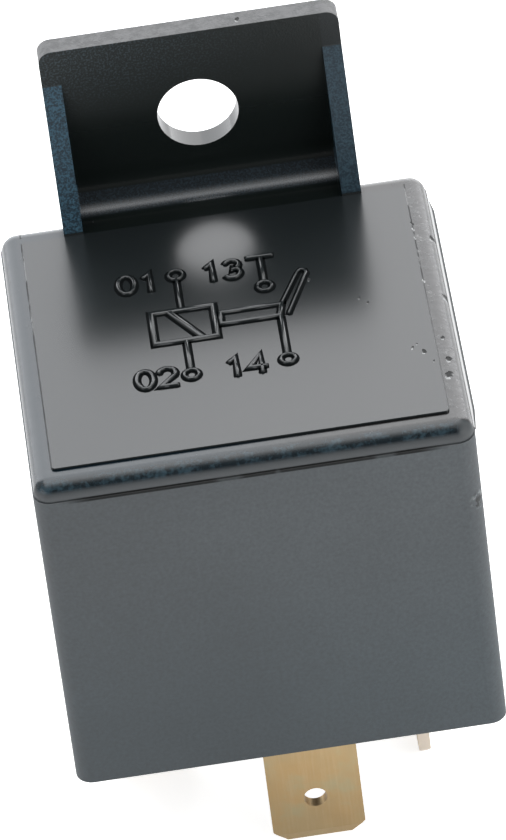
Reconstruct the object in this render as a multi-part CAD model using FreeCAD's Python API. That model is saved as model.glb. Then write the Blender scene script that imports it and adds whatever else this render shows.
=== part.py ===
import FreeCAD, Part
import math
import os

# Automotive plug-in relay with one normally open contact, in mm
# Origin: centre of the base's underside, which seats on the socket
# +Z up, +X towards the make terminal, +Y towards the mounting bracket

# Cover
body_width = 28.9
body_depth = 27.5
body_height = 25.4
wall_draft = 0.03
wall_corner_radius = 1.15
side_wall = 1.25
back_wall_extra = 0.3
roof_thickness = 1.2
inner_corner_radius = 0.6

# Cap band at the top of the cover, set back behind the wall
cap_height = 1.1
cap_setback = 0.08
cap_corner_radius = 1.1
cap_edge_radius = 1.0

# Raised panel on the roof
panel_height = 0.16
panel_side_border = 1.38
panel_front_border = 1.83
panel_back_border = 1.43
panel_corner_radius = 0.25
panel_edge_chamfer = 0.05

# Bracket moulded on the back of the cover
bracket_width = 20.1
bracket_thickness = 1.5
bracket_offset = 1.85
bracket_height = 12.9
bracket_corner_radius = 0.9
bracket_hole_radius = 2.73
bracket_hole_height = 6.25
web_height = 2.4
web_overlap = 1.0
root_fillet = 2.0
gusset_width = 1.3
gusset_height = 10.2

# Base plate
base_thickness = 2.4
base_clearance = 0.1
base_corner_radius = 0.55
base_edge_chamfer = 0.3
slot_clearance = 0.05
collar_height = 1.0
collar_rim = 0.9
rail_length = 9.0
rail_width = 1.4
rail_centre_y = 3.9
nose_length = 3.0
nose_height = 0.9
nose_reach = 0.3
nose_bottom = 1.0
nose_offset_y = 6.0
recess_clearance = 0.1
pocket_clearance = 0.3

# Blade terminals, standard 6.3 x 0.8
blade_width = 6.3
blade_thickness = 0.8
blade_length = 11.9
blade_corner = 0.95
blade_bevel_depth = 0.2
blade_bevel_length = 0.7
blade_hole_radius = 0.8
blade_hole_from_tip = 3.65
shoulder_width = 7.5
shoulder_height = 0.9
contact_row_edge = 5.25
coil_row_x = 1.2
coil_row_edge = 4.85

# Coil terminal inner tongue
tongue_width = 2.0
tongue_top = 7.2

# Magnet: yoke, core, bobbin and winding
yoke_thickness = 1.6
yoke_width = 10.0
yoke_wall_gap = 2.0
yoke_end_inset = 0.2
yoke_bend_radius = 1.6
yoke_nose_radius = 0.5
roof_to_yoke = 4.2
ear_width = 1.0
ear_height = 1.1
core_to_winding_ratio = 0.4
stem_step = 0.7
pole_inset = 2.0
pole_thickness = 1.3
fit_clearance = 0.03
bobbin_tube_wall = 0.75
bobbin_bore_clearance = 0.1
flange_thickness = 1.1
flange_side_gap = 1.6
flange_row_gap = 1.4
flange_corner_cut = 1.6
bobbin_foot_length = 3.0
bobbin_foot_width = 1.6
bobbin_foot_reach = 3.7
winding_inset = 0.5
winding_clearance = 0.02

# Armature and contact spring, drawn closed and then opened
open_angle = 2.6
pole_gap = 0.06
armature_thickness = 1.3
armature_heel_inset = 0.2
armature_neck_gap = 0.4
armature_end_gap = 2.6
armature_taper_length = 4.2
armature_end_width = 6.4
armature_heel_radius = 1.1
ear_clearance = 0.2
armature_corner_cut = 0.5
spring_thickness = 0.25
spring_width = 7.0
spring_end_width = 3.6
spring_corner_cut = 0.9
spring_taper_start = 5.8
spring_taper_end = 2.6
spring_bend_radius = 1.225
spring_drop = 9.0
spring_window_width = 2.2
spring_window_reach = 3.0
spring_window_drop = 2.8
spring_boss_rise = 2.6
spring_boss_y = 2.1
armature_boss_spread = 2.8

# Staked bosses, the terminal's rivet and the contacts
boss_radius = 0.8
boss_head_radius = 1.35
boss_head_height = 0.45
boss_root = 0.3
rivet_radius = 0.9
rivet_head_radius = 1.45
rivet_head_height = 0.45
rivet_flush = 0.03
contact_radius = 1.65
contact_height = 0.8
contact_edge = 0.25
contact_tail_height = 0.4
contact_shank_radius = 1.0
contact_closed_gap = 0.04

# Make terminal inner arm
arm_wall_gap = 0.8
arm_contact_offset = 2.8
arm_jog_low_z = 4.3
arm_jog_high_z = 6.2
arm_width = 5.0
arm_end_reach = 1.8
arm_bend_radius = 1.0
arm_end_radius = 2.0

# Common terminal flange under the yoke
flange_reach = 4.6
flange_bend_radius = 0.8
terminal_rivet_edge = 1.35
terminal_rivet_y = 2.6

# Stop plate above the moving contact
stop_thickness = 0.6
stop_width = 3.0
stop_wall_gap = 3.2
stop_reach_y = -1.7
stop_root_z = 1.2
stop_rest_gap = 0.05
stop_bend_radius = 0.8
tower_height = 2.6

# Coil wire ends and solder
lead_radius = 0.15
lead_gap = 0.02
lead_height = 6.7
solder_radius = 1.3
solder_top_radius = 1.12
solder_half_height = 1.15
solder_height = 6.5

# How far a cutting tool passes the face it cuts, and how close an edge is to a place it is picked by
cut_margin = 1.0
match_tolerance = 1e-3

# Values that follow from the ones above
half_width = body_width / 2
half_depth = body_depth / 2
cap_half_width = half_width - wall_draft - cap_setback
cap_half_depth = half_depth - wall_draft - cap_setback
inner_half_width = half_width - side_wall
inner_half_depth = half_depth - side_wall
inner_top = body_height - roof_thickness
plate_front_y = half_depth + bracket_offset
plate_back_y = plate_front_y + bracket_thickness
contact_row_x = half_width - contact_row_edge
coil_row_y = half_depth - coil_row_edge
yoke_bottom = base_thickness + collar_height
yoke_outer_x = yoke_wall_gap - inner_half_width
yoke_inner_x = yoke_outer_x + yoke_thickness
yoke_floor = yoke_bottom + yoke_thickness
yoke_top = inner_top - roof_to_yoke
arm_outer_x = inner_half_width - arm_wall_gap - blade_thickness / 2
contact_x = arm_outer_x - arm_contact_offset
arm_left_x = contact_x - arm_end_reach
flange_left_x = yoke_inner_x + flange_side_gap
flange_right_x = arm_left_x - flange_side_gap
coil_axis_x = (flange_left_x + flange_right_x) / 2
flange_half_y = coil_row_y - flange_row_gap
winding_radius = min(flange_right_x - coil_axis_x, flange_half_y) - winding_inset
core_radius = winding_radius * core_to_winding_ratio
stem_radius = core_radius - stem_step
pole_radius = winding_radius - pole_inset
bobbin_top = yoke_top - pole_thickness
tube_inner_radius = core_radius + bobbin_bore_clearance
tube_outer_radius = tube_inner_radius + bobbin_tube_wall
hinge_x = yoke_outer_x + yoke_nose_radius
hinge_z = yoke_top - yoke_nose_radius
armature_bottom = yoke_top + pole_gap
armature_top = armature_bottom + armature_thickness
armature_left_x = yoke_outer_x + armature_heel_inset
armature_neck_x = yoke_inner_x + armature_neck_gap
armature_right_x = arm_left_x - armature_end_gap
armature_taper_x = armature_right_x - armature_taper_length
armature_boss_x = (coil_axis_x - armature_boss_spread, coil_axis_x + armature_boss_spread)
neck_half_width = yoke_width / 2 - ear_width - ear_clearance
spring_top = armature_top + spring_thickness
spring_taper_start_x = contact_x - spring_taper_start
spring_taper_end_x = contact_x - spring_taper_end
spring_foot_z = yoke_top - spring_drop
spring_boss_z = spring_foot_z + spring_boss_rise
spring_window_right_x = yoke_outer_x + spring_window_reach
spring_window_bottom_z = yoke_top - spring_window_drop
moving_face_z = armature_top - contact_height
fixed_face_z = moving_face_z - contact_closed_gap
arm_top_z = fixed_face_z - contact_height
terminal_rivet_x = blade_width / 2 - terminal_rivet_edge - contact_row_x
stop_y = inner_half_depth - stop_wall_gap

along_x = FreeCAD.Vector(1, 0, 0)
along_y = FreeCAD.Vector(0, 1, 0)
along_z = FreeCAD.Vector(0, 0, 1)


def save(name, shape):
    """Write one node as a STEP file."""
    shape.exportStep("parts/" + name + ".step")


def block(x0, x1, y0, y1, z0, z1):
    """Box between two corners."""
    return Part.makeBox(x1 - x0, y1 - y0, z1 - z0, FreeCAD.Vector(x0, y0, z0))


def cylinder(x, y, z0, z1, radius):
    """Upright cylinder."""
    return Part.makeCylinder(radius, z1 - z0, FreeCAD.Vector(x, y, z0), along_z)


def edges_along(shape, direction):
    """Straight edges that run along one axis."""
    found = []
    for edge in shape.Edges:
        if isinstance(edge.Curve, Part.Line):
            run = edge.Vertexes[1].Point - edge.Vertexes[0].Point
            if run.cross(direction).Length < match_tolerance:
                found.append(edge)
    return found


def rounded_block(x0, x1, y0, y1, z0, z1, radius):
    """Box with its four upright edges rounded."""
    shape = block(x0, x1, y0, y1, z0, z1)
    return shape.makeFillet(radius, edges_along(shape, along_z))


def edges_at_height(shape, z):
    """Edges that lie wholly in one level plane."""
    found = []
    for edge in shape.Edges:
        box = edge.BoundBox
        if abs(box.ZMin - z) < match_tolerance and abs(box.ZMax - z) < match_tolerance:
            found.append(edge)
    return found


def outline_face(points):
    """Flat face inside a closed run of straight lines."""
    return Part.Face(Part.makePolygon(points + [points[0]]))


def left_of(run):
    """Unit vector to the left of a direction in the drawing plane."""
    return FreeCAD.Vector(-run.y, run.x, 0)


def bent_strip(path, thickness, bend_radius, place, sweep):
    """Sheet strip bent along a path drawn in one plane and given its width by sweep."""
    points = [FreeCAD.Vector(u, v, 0) for u, v in path]
    runs = []
    for start, end in zip(points[:-1], points[1:]):
        runs.append((end - start).normalize())
    outline = []
    for side in (thickness / 2, -thickness / 2):
        cursor = points[0] + left_of(runs[0]) * side
        first = cursor
        for corner, before, after in zip(points[1:-1], runs[:-1], runs[1:]):
            turn = math.atan2(before.cross(after).z, before.dot(after))
            sign = math.copysign(1, turn)
            tangent = bend_radius * math.tan(abs(turn) / 2)
            start = corner - before * tangent
            end = corner + after * tangent
            centre = start + left_of(before) * (bend_radius * sign)
            middle = centre + (corner - centre).normalize() * (bend_radius - side * sign)
            arc_start = start + left_of(before) * side
            arc_end = end + left_of(after) * side
            outline.append(Part.makeLine(place(cursor), place(arc_start)))
            outline.append(Part.Arc(place(arc_start), place(middle), place(arc_end)).toShape())
            cursor = arc_end
        last = points[-1] + left_of(runs[-1]) * side
        outline.append(Part.makeLine(place(cursor), place(last)))
        if side > 0:
            upper_first, upper_last = first, last
    outline.append(Part.makeLine(place(upper_first), place(first)))
    outline.append(Part.makeLine(place(upper_last), place(last)))
    face = Part.Face(Part.Wire(Part.__sortEdges__(outline)))
    return face.extrude(sweep)


def in_xz(y):
    """Placement of a drawing in a plane across Y."""
    return lambda point: FreeCAD.Vector(point.x, y, point.y)


def in_yz(x):
    """Placement of a drawing in a plane across X."""
    return lambda point: FreeCAD.Vector(x, point.x, point.y)


def rounded_rectangle(half_x, half_y, radius, z):
    """Closed wire of a rounded rectangle at one height."""
    plate = rounded_block(-half_x, half_x, -half_y, half_y, z, z + cut_margin, radius)
    edges = edges_at_height(plate, z)
    return Part.Wire(Part.__sortEdges__(edges))


def opened(shape):
    """Copy turned from the closed place to the open rest place."""
    moved = shape.copy()
    moved.rotate(FreeCAD.Vector(hinge_x, 0, hinge_z), along_y, -open_angle)
    return moved


def blade_tip_outline(half_width_inside, top):
    """Outline across the blade's width: chamfered tip, shoulders and inner part."""
    half = blade_width / 2
    tip = -blade_length
    shoulder_bottom = base_thickness + collar_height
    shoulder_top = shoulder_bottom + shoulder_height
    right = [
        (half - blade_corner, tip),
        (half, tip + blade_corner),
        (half, shoulder_bottom),
        (shoulder_width / 2, shoulder_bottom),
        (shoulder_width / 2, shoulder_top),
        (half_width_inside, shoulder_top),
        (half_width_inside, top),
    ]
    left = [(-u, v) for u, v in reversed(right)]
    return right + left


def blade_bevel_cut():
    """Two wedges that thin the blade's faces at the tip, blade facing Y."""
    half = blade_thickness / 2
    tip = -blade_length
    wedges = []
    for side in (1, -1):
        points = [
            FreeCAD.Vector(-blade_width, side * half, tip + blade_bevel_length),
            FreeCAD.Vector(-blade_width, side * (half - blade_bevel_depth), tip),
            FreeCAD.Vector(-blade_width, side * (half + blade_bevel_depth), tip),
        ]
        wedges.append(outline_face(points).extrude(along_x * (2 * blade_width)))
    return wedges[0].fuse(wedges[1])


def blade_hole_cut():
    """Hole near the tip, blade facing Y."""
    centre = FreeCAD.Vector(0, -blade_thickness, blade_hole_from_tip - blade_length)
    return Part.makeCylinder(blade_hole_radius, 2 * blade_thickness, centre, along_y)


def make_cover():
    """One-piece cover with its cap band, raised panel, bracket, web and gussets."""
    step_z = body_height - cap_height
    outer_half_y = half_depth + back_wall_extra / 2
    bottom = rounded_rectangle(half_width, outer_half_y, wall_corner_radius, 0)
    top = rounded_rectangle(half_width - wall_draft, outer_half_y - wall_draft, wall_corner_radius, step_z)
    wall = Part.makeLoft([bottom, top], True, True)
    wall.translate(along_y * (back_wall_extra / 2))

    cap = rounded_block(-cap_half_width, cap_half_width,
                        -cap_half_depth, cap_half_depth + back_wall_extra,
                        step_z - cap_height, body_height, cap_corner_radius)
    cap = cap.makeFillet(cap_edge_radius, edges_at_height(cap, body_height))

    panel_x = cap_half_width - panel_side_border
    panel = rounded_block(-panel_x, panel_x, panel_front_border - cap_half_depth,
                          cap_half_depth - panel_back_border,
                          body_height - panel_height, body_height + panel_height, panel_corner_radius)
    panel = panel.makeChamfer(panel_edge_chamfer, edges_at_height(panel, body_height + panel_height))

    outer = wall.fuse([cap, panel, make_bracket(cap_half_depth - panel_back_border)]).removeSplitter()
    cavity = rounded_block(-inner_half_width, inner_half_width, -inner_half_depth, inner_half_depth,
                           -cut_margin, inner_top, inner_corner_radius)
    shell = outer.cut(cavity)
    for side in (1, -1):
        for y in (nose_offset_y, -nose_offset_y):
            shell = shell.cut(nose_wedge(side, y, recess_clearance))
    return shell


def make_bracket(gusset_front_y):
    """Upright plate behind the body with its web, root fillet, gussets and screw hole."""
    half = bracket_width / 2
    plate_top = body_height + bracket_height
    web_bottom = body_height - web_height
    plate = block(-half, half, plate_front_y, plate_back_y, web_bottom, plate_top)
    corners = []
    for edge in edges_along(plate, along_y):
        if edge.BoundBox.ZMin > plate_top - match_tolerance:
            corners.append(edge)
    plate = plate.makeFillet(bracket_corner_radius, corners)

    web_start = half_depth - web_overlap
    web = block(-half, half, web_start, plate_front_y + web_overlap, web_bottom, body_height)
    fillet_face = outline_face([
        FreeCAD.Vector(-half, plate_front_y - root_fillet, body_height),
        FreeCAD.Vector(-half, plate_front_y, body_height),
        FreeCAD.Vector(-half, plate_front_y, body_height + root_fillet),
    ])
    round_centre = FreeCAD.Vector(-half, plate_front_y - root_fillet, body_height + root_fillet)
    round_cut = Part.makeCylinder(root_fillet, bracket_width, round_centre, along_x)
    root = fillet_face.extrude(along_x * bracket_width).cut(round_cut)

    pieces = [web, root]
    for start in (-half, half - gusset_width):
        gusset = outline_face([
            FreeCAD.Vector(start, gusset_front_y, body_height - panel_height),
            FreeCAD.Vector(start, gusset_front_y, body_height),
            FreeCAD.Vector(start, plate_front_y, body_height + gusset_height),
            FreeCAD.Vector(start, plate_front_y, body_height - panel_height),
        ])
        pieces.append(gusset.extrude(along_x * gusset_width))
    bracket = plate.fuse(pieces)
    hole = Part.makeCylinder(bracket_hole_radius, 2 * bracket_thickness,
                             FreeCAD.Vector(0, plate_front_y - bracket_thickness / 2,
                                            body_height + bracket_hole_height), along_y)
    return bracket.cut(hole).removeSplitter()


def nose_wedge(side, y, growth):
    """Wedge on the base's side that snaps into the cover's wall."""
    base_half = inner_half_width - base_clearance
    top = nose_bottom + nose_height
    points = [
        FreeCAD.Vector(side * (base_half - growth), y - nose_length / 2 - growth, nose_bottom - growth),
        FreeCAD.Vector(side * (base_half + nose_reach + growth), y - nose_length / 2 - growth, top - growth),
        FreeCAD.Vector(side * (base_half + nose_reach + growth), y - nose_length / 2 - growth, top + growth),
        FreeCAD.Vector(side * (base_half - growth), y - nose_length / 2 - growth, top + growth),
    ]
    return outline_face(points).extrude(along_y * (nose_length + 2 * growth))


def make_base():
    """Base plate with blade slots, collars, rails for the yoke, a tower and snap noses."""
    half_x = inner_half_width - base_clearance
    half_y = inner_half_depth - base_clearance
    plate = rounded_block(-half_x, half_x, -half_y, half_y, 0, base_thickness, base_corner_radius)
    plate = plate.makeChamfer(base_edge_chamfer, edges_at_height(plate, 0))
    collar_top = base_thickness + collar_height
    slot_half = blade_width / 2 + slot_clearance
    slot_thin = blade_thickness / 2 + slot_clearance
    added = []
    cuts = []
    for y in (coil_row_y, -coil_row_y):
        added.append(block(coil_row_x - slot_half - collar_rim, coil_row_x + slot_half + collar_rim,
                           y - slot_thin - collar_rim, y + slot_thin + collar_rim,
                           base_thickness / 2, collar_top))
        cuts.append(block(coil_row_x - slot_half, coil_row_x + slot_half, y - slot_thin, y + slot_thin,
                          -cut_margin, collar_top + cut_margin))
    added.append(block(contact_row_x - slot_thin - collar_rim, contact_row_x + slot_thin + collar_rim,
                       -slot_half - collar_rim, slot_half + collar_rim, base_thickness / 2, collar_top))
    cuts.append(block(contact_row_x - slot_thin, contact_row_x + slot_thin, -slot_half, slot_half,
                      -cut_margin, collar_top + cut_margin))
    cuts.append(block(-contact_row_x - slot_half, -contact_row_x + slot_half, -slot_thin, slot_thin,
                      -cut_margin, collar_top + cut_margin))
    for y in (rail_centre_y, -rail_centre_y):
        added.append(block(coil_axis_x - rail_length / 2, coil_axis_x + rail_length / 2,
                           y - rail_width / 2, y + rail_width / 2, base_thickness / 2, collar_top))
    tower_top = base_thickness + tower_height
    stop_half = stop_width / 2 + slot_clearance
    stop_thin = stop_thickness / 2 + slot_clearance
    added.append(block(contact_x - stop_half - collar_rim, contact_x + stop_half + collar_rim,
                       stop_y - stop_thin - collar_rim, stop_y + stop_thin + collar_rim,
                       base_thickness / 2, tower_top))
    cuts.append(block(contact_x - stop_half, contact_x + stop_half, stop_y - stop_thin, stop_y + stop_thin,
                      stop_root_z, tower_top + cut_margin))
    pocket_half = rivet_head_radius + pocket_clearance
    cuts.append(block(terminal_rivet_x - pocket_half, terminal_rivet_x + pocket_half,
                      terminal_rivet_y - pocket_half, terminal_rivet_y + pocket_half,
                      base_thickness - rivet_head_height, base_thickness + cut_margin))
    for side in (1, -1):
        for y in (nose_offset_y, -nose_offset_y):
            added.append(nose_wedge(side, y, 0))
    return plate.fuse(added).cut(cuts).removeSplitter()


def make_coil_terminal(y):
    """Blade facing Y with a narrow tongue for the coil's wire end."""
    outline = blade_tip_outline(tongue_width / 2, tongue_top)
    points = [FreeCAD.Vector(u, -blade_thickness / 2, v) for u, v in outline]
    blade = outline_face(points).extrude(along_y * blade_thickness)
    blade = blade.cut([blade_bevel_cut(), blade_hole_cut()])
    blade.translate(FreeCAD.Vector(coil_row_x, y, 0))
    return blade


def turned_blade_tools():
    """Bevel and hole cuts for a blade that faces X, at the make terminal."""
    tools = []
    for tool in (blade_bevel_cut(), blade_hole_cut()):
        tool.rotate(FreeCAD.Vector(0, 0, 0), along_z, 90)
        tool.translate(FreeCAD.Vector(contact_row_x, 0, 0))
        tools.append(tool)
    return tools


def make_make_terminal():
    """Blade facing X whose inner arm jogs outwards, rises and bends in under the contact."""
    arm_z = arm_top_z - blade_thickness / 2
    path = [
        (contact_row_x, -blade_length),
        (contact_row_x, arm_jog_low_z),
        (arm_outer_x, arm_jog_high_z),
        (arm_outer_x, arm_z),
        (arm_left_x, arm_z),
    ]
    strip = bent_strip(path, blade_thickness, arm_bend_radius, in_xz(-shoulder_width / 2),
                       along_y * shoulder_width)
    outline = blade_tip_outline(arm_width / 2, arm_top_z + cut_margin)
    points = [FreeCAD.Vector(0, u, v) for u, v in outline]
    strip = strip.common(outline_face(points).extrude(along_x * half_width))
    corners = []
    for edge in edges_along(strip, along_z):
        if edge.BoundBox.XMax < arm_left_x + match_tolerance and edge.BoundBox.ZMin > arm_z - blade_thickness:
            corners.append(edge)
    strip = strip.makeFillet(arm_end_radius, corners)
    return strip.cut(turned_blade_tools())


def make_common_terminal():
    """Blade facing Y whose inner end bends back under the yoke."""
    flange_z = yoke_bottom - blade_thickness / 2
    path = [(0, -blade_length), (0, flange_z), (flange_reach, flange_z)]
    strip = bent_strip(path, blade_thickness, flange_bend_radius, in_yz(-contact_row_x - blade_width / 2),
                       along_x * blade_width)
    tip_corners = []
    for edge in edges_along(strip, along_y):
        if edge.BoundBox.ZMax < -blade_length + match_tolerance:
            tip_corners.append(edge)
    strip = strip.makeChamfer(blade_corner, tip_corners)
    tools = []
    for tool in (blade_bevel_cut(), blade_hole_cut()):
        tool.translate(FreeCAD.Vector(-contact_row_x, 0, 0))
        tools.append(tool)
    tools.append(cylinder(terminal_rivet_x, terminal_rivet_y, base_thickness, yoke_bottom + cut_margin,
                          rivet_radius + fit_clearance))
    return strip.cut(tools)


def make_yoke():
    """Steel angle with a knife edge, two ears, two staked bosses and holes for core and rivet."""
    centre_z = yoke_bottom + yoke_thickness / 2
    centre_x = yoke_outer_x + yoke_thickness / 2
    path = [(armature_right_x - yoke_end_inset, centre_z), (centre_x, centre_z), (centre_x, yoke_top)]
    half = yoke_width / 2
    angle = bent_strip(path, yoke_thickness, yoke_bend_radius, in_xz(-half), along_y * yoke_width)
    nose = []
    for edge in edges_along(angle, along_y):
        box = edge.BoundBox
        if box.XMax < yoke_outer_x + match_tolerance and box.ZMin > yoke_top - match_tolerance:
            nose.append(edge)
    angle = angle.makeFillet(yoke_nose_radius, nose)
    ears = []
    for side in (1, -1):
        inner = side * (half - ear_width)
        ears.append(block(hinge_x, yoke_inner_x, min(inner, side * half), max(inner, side * half),
                          yoke_top - yoke_nose_radius, yoke_top + ear_height))
    angle = angle.fuse(ears).removeSplitter()
    cuts = [cylinder(coil_axis_x, 0, 0, yoke_floor + cut_margin, stem_radius + fit_clearance)]
    cuts.append(cylinder(terminal_rivet_x, terminal_rivet_y, 0, yoke_floor + cut_margin,
                         rivet_radius + fit_clearance))
    bosses = []
    for y in (spring_boss_y, -spring_boss_y):
        one = boss(0)
        one.rotate(FreeCAD.Vector(0, 0, 0), along_y, -90)
        one.translate(FreeCAD.Vector(yoke_outer_x, y, spring_boss_z))
        bosses.append(one)
    return angle.cut(cuts).fuse(bosses).removeSplitter()


def revolved(points, x, y):
    """Solid of revolution about an upright axis from radius and height pairs."""
    profile = [FreeCAD.Vector(x + radius, y, z) for radius, z in points]
    return outline_face(profile).revolve(FreeCAD.Vector(x, y, 0), along_z, 360)


def make_core():
    """Round core with a pole disc above and a stem pressed through the yoke."""
    return revolved([
        (0, yoke_bottom),
        (stem_radius, yoke_bottom),
        (stem_radius, yoke_floor),
        (core_radius, yoke_floor),
        (core_radius, bobbin_top),
        (pole_radius, bobbin_top),
        (pole_radius, yoke_top),
        (0, yoke_top),
    ], coil_axis_x, 0)


def make_bobbin():
    """Spool with two square flanges and two feet that stand on the base."""
    tube = cylinder(coil_axis_x, 0, yoke_floor, bobbin_top, tube_outer_radius)
    pieces = []
    for bottom in (yoke_floor, bobbin_top - flange_thickness):
        flange = block(flange_left_x, flange_right_x, -flange_half_y, flange_half_y,
                       bottom, bottom + flange_thickness)
        pieces.append(flange.makeChamfer(flange_corner_cut, edges_along(flange, along_z)))
    for side in (1, -1):
        inner = side * (flange_half_y - bobbin_foot_width)
        outer = side * flange_half_y
        foot_x = coil_axis_x + bobbin_foot_reach
        pieces.append(block(foot_x - bobbin_foot_length, foot_x, min(inner, outer), max(inner, outer),
                            base_thickness, yoke_floor + flange_thickness / 2))
    bore = cylinder(coil_axis_x, 0, 0, yoke_top, tube_inner_radius)
    return tube.fuse(pieces).cut(bore).removeSplitter()


def make_winding():
    """Copper winding as one ring between the flanges."""
    bottom = yoke_floor + flange_thickness
    top = bobbin_top - flange_thickness
    inner = tube_outer_radius + winding_clearance
    return revolved([
        (inner, bottom),
        (winding_radius, bottom),
        (winding_radius, top),
        (inner, top),
    ], coil_axis_x, 0)


def make_armature():
    """Steel plate with a necked and rounded heel, cut corners and two staked bosses, open."""
    half = yoke_width / 2
    end = armature_end_width / 2
    side = [
        (armature_left_x, neck_half_width),
        (armature_neck_x, neck_half_width),
        (armature_neck_x, half),
        (armature_taper_x, half),
        (armature_right_x, end),
    ]
    outline = side + [(x, -y) for x, y in reversed(side)]
    points = [FreeCAD.Vector(x, y, armature_bottom) for x, y in outline]
    plate = outline_face(points).extrude(along_z * armature_thickness)
    heel = []
    for edge in edges_along(plate, along_y):
        box = edge.BoundBox
        if box.XMax < armature_left_x + match_tolerance and box.ZMin > armature_top - match_tolerance:
            heel.append(edge)
    plate = plate.makeFillet(armature_heel_radius, heel)
    corners = []
    for edge in edges_along(plate, along_z):
        spot = edge.Vertexes[0].Point
        if abs(spot.y) > neck_half_width + match_tolerance or spot.x > armature_right_x - match_tolerance:
            corners.append(edge)
    plate = plate.makeChamfer(armature_corner_cut, corners)
    bosses = []
    for x in armature_boss_x:
        one = boss(armature_top)
        one.translate(FreeCAD.Vector(x, 0, 0))
        bosses.append(one)
    return opened(plate.fuse(bosses).removeSplitter())


def make_spring():
    """Leaf spring from the yoke's back, over the heel and out to the moving contact."""
    angle = math.radians(open_angle)
    half_leaf = spring_thickness / 2
    foot_x = yoke_outer_x - half_leaf
    rise = armature_top + half_leaf - hinge_z
    end_run = contact_x + contact_radius - hinge_x
    end = (hinge_x + end_run * math.cos(angle) - rise * math.sin(angle),
           hinge_z + end_run * math.sin(angle) + rise * math.cos(angle))
    corner = (foot_x, hinge_z + rise / math.cos(angle) + (foot_x - hinge_x) * math.tan(angle))
    path = [end, corner, (foot_x, spring_foot_z)]
    leaf = bent_strip(path, spring_thickness, spring_bend_radius, in_xz(-spring_width / 2),
                      along_y * spring_width)
    wide = spring_width / 2
    narrow = spring_end_width / 2
    end_x = contact_x + contact_radius + cut_margin
    plan = [(-half_width, wide), (spring_taper_start_x, wide), (spring_taper_end_x, narrow), (end_x, narrow)]
    plan = plan + [(x, -y) for x, y in reversed(plan)]
    keep = outline_face([FreeCAD.Vector(x, y, 0) for x, y in plan]).extrude(along_z * body_height)
    leaf = leaf.common(keep)
    corners = []
    for edge in leaf.Edges:
        box = edge.BoundBox
        if isinstance(edge.Curve, Part.Line) and edge.Length < 2 * spring_thickness:
            if box.XMin > spring_taper_end_x + cut_margin or box.ZMax < spring_foot_z + match_tolerance:
                corners.append(edge)
    leaf = leaf.makeChamfer(spring_corner_cut, corners)
    window_half = spring_window_width / 2
    cuts = [block(-half_width, spring_window_right_x, -window_half, window_half,
                  spring_window_bottom_z, body_height)]
    for y in (spring_boss_y, -spring_boss_y):
        cuts.append(Part.makeCylinder(boss_radius + fit_clearance, yoke_thickness,
                                      FreeCAD.Vector(yoke_outer_x - yoke_thickness / 2, y, spring_boss_z),
                                      along_x))
    for x in armature_boss_x:
        cuts.append(opened(cylinder(x, 0, armature_bottom, spring_top + cut_margin,
                                    boss_radius + fit_clearance)))
    cuts.append(opened(cylinder(contact_x, 0, armature_bottom, spring_top + cut_margin,
                                contact_shank_radius + fit_clearance)))
    return leaf.cut(cuts)


def make_moving_contact():
    """Contact rivet through the spring's free end, in the open place."""
    tail_top = spring_top + contact_tail_height
    return opened(revolved([
        (0, moving_face_z),
        (contact_radius - contact_edge, moving_face_z),
        (contact_radius, moving_face_z + contact_edge),
        (contact_radius, armature_top),
        (contact_shank_radius, armature_top),
        (contact_shank_radius, tail_top),
        (0, tail_top),
    ], contact_x, 0))


def make_fixed_contact():
    """Contact button welded on the make terminal's arm."""
    return revolved([
        (0, arm_top_z),
        (contact_radius, arm_top_z),
        (contact_radius, fixed_face_z - contact_edge),
        (contact_radius - contact_edge, fixed_face_z),
        (0, fixed_face_z),
    ], contact_x, 0)


def boss(seat):
    """Round boss along Z that passes through the spring from the seat and is staked over it."""
    neck_top = seat + spring_thickness
    return revolved([
        (0, seat - boss_root),
        (boss_radius, seat - boss_root),
        (boss_radius, neck_top),
        (boss_head_radius, neck_top),
        (boss_radius, neck_top + boss_head_height),
        (0, neck_top + boss_head_height),
    ], 0, 0)


def make_terminal_rivet():
    """Rivet that joins the common terminal's flange to the yoke."""
    seat = yoke_bottom - blade_thickness
    return revolved([
        (0, seat - rivet_head_height),
        (rivet_radius, seat - rivet_head_height),
        (rivet_head_radius, seat),
        (rivet_radius, seat),
        (rivet_radius, yoke_floor - rivet_flush),
        (0, yoke_floor - rivet_flush),
    ], terminal_rivet_x, terminal_rivet_y)


def make_stop_plate():
    """Bent strip that stands in the base's tower and ends above the moving contact."""
    tail_corner = opened(Part.Vertex(contact_x + contact_shank_radius, 0, spring_top + contact_tail_height))
    centre_z = tail_corner.Point.z + stop_rest_gap + stop_thickness / 2
    path = [(stop_y, stop_root_z), (stop_y, centre_z), (stop_reach_y, centre_z)]
    return bent_strip(path, stop_thickness, stop_bend_radius, in_yz(contact_x - stop_width / 2),
                      along_x * stop_width)


def make_lead(side):
    """Straight wire end that leaves the winding at a tangent and ends at its terminal's solder."""
    axis = FreeCAD.Vector(coil_axis_x, 0, lead_height)
    run_radius = winding_radius + lead_radius + lead_gap
    end_y = coil_row_y - solder_radius - lead_gap
    end = FreeCAD.Vector(coil_row_x, side * end_y, lead_height)
    reach = (end - axis).Length
    bearing = math.atan2(end.y - axis.y, end.x - axis.x)
    turn = side * math.acos(run_radius / reach)
    start = axis + FreeCAD.Vector(math.cos(bearing + turn), math.sin(bearing + turn), 0) * run_radius
    run = end - start
    return Part.makeCylinder(lead_radius, run.Length, start, run)


def make_solder(side, terminal):
    """Solder blob around the tongue, where the wire ends."""
    low = solder_height - solder_half_height
    high = solder_height + solder_half_height
    blob = revolved([
        (0, low),
        (solder_radius, low),
        (solder_top_radius, high),
        (0, high),
    ], coil_row_x, side * coil_row_y)
    return blob.cut(terminal)


os.makedirs("parts", exist_ok=True)
front_terminal = make_coil_terminal(-coil_row_y)
rear_terminal = make_coil_terminal(coil_row_y)

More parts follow.
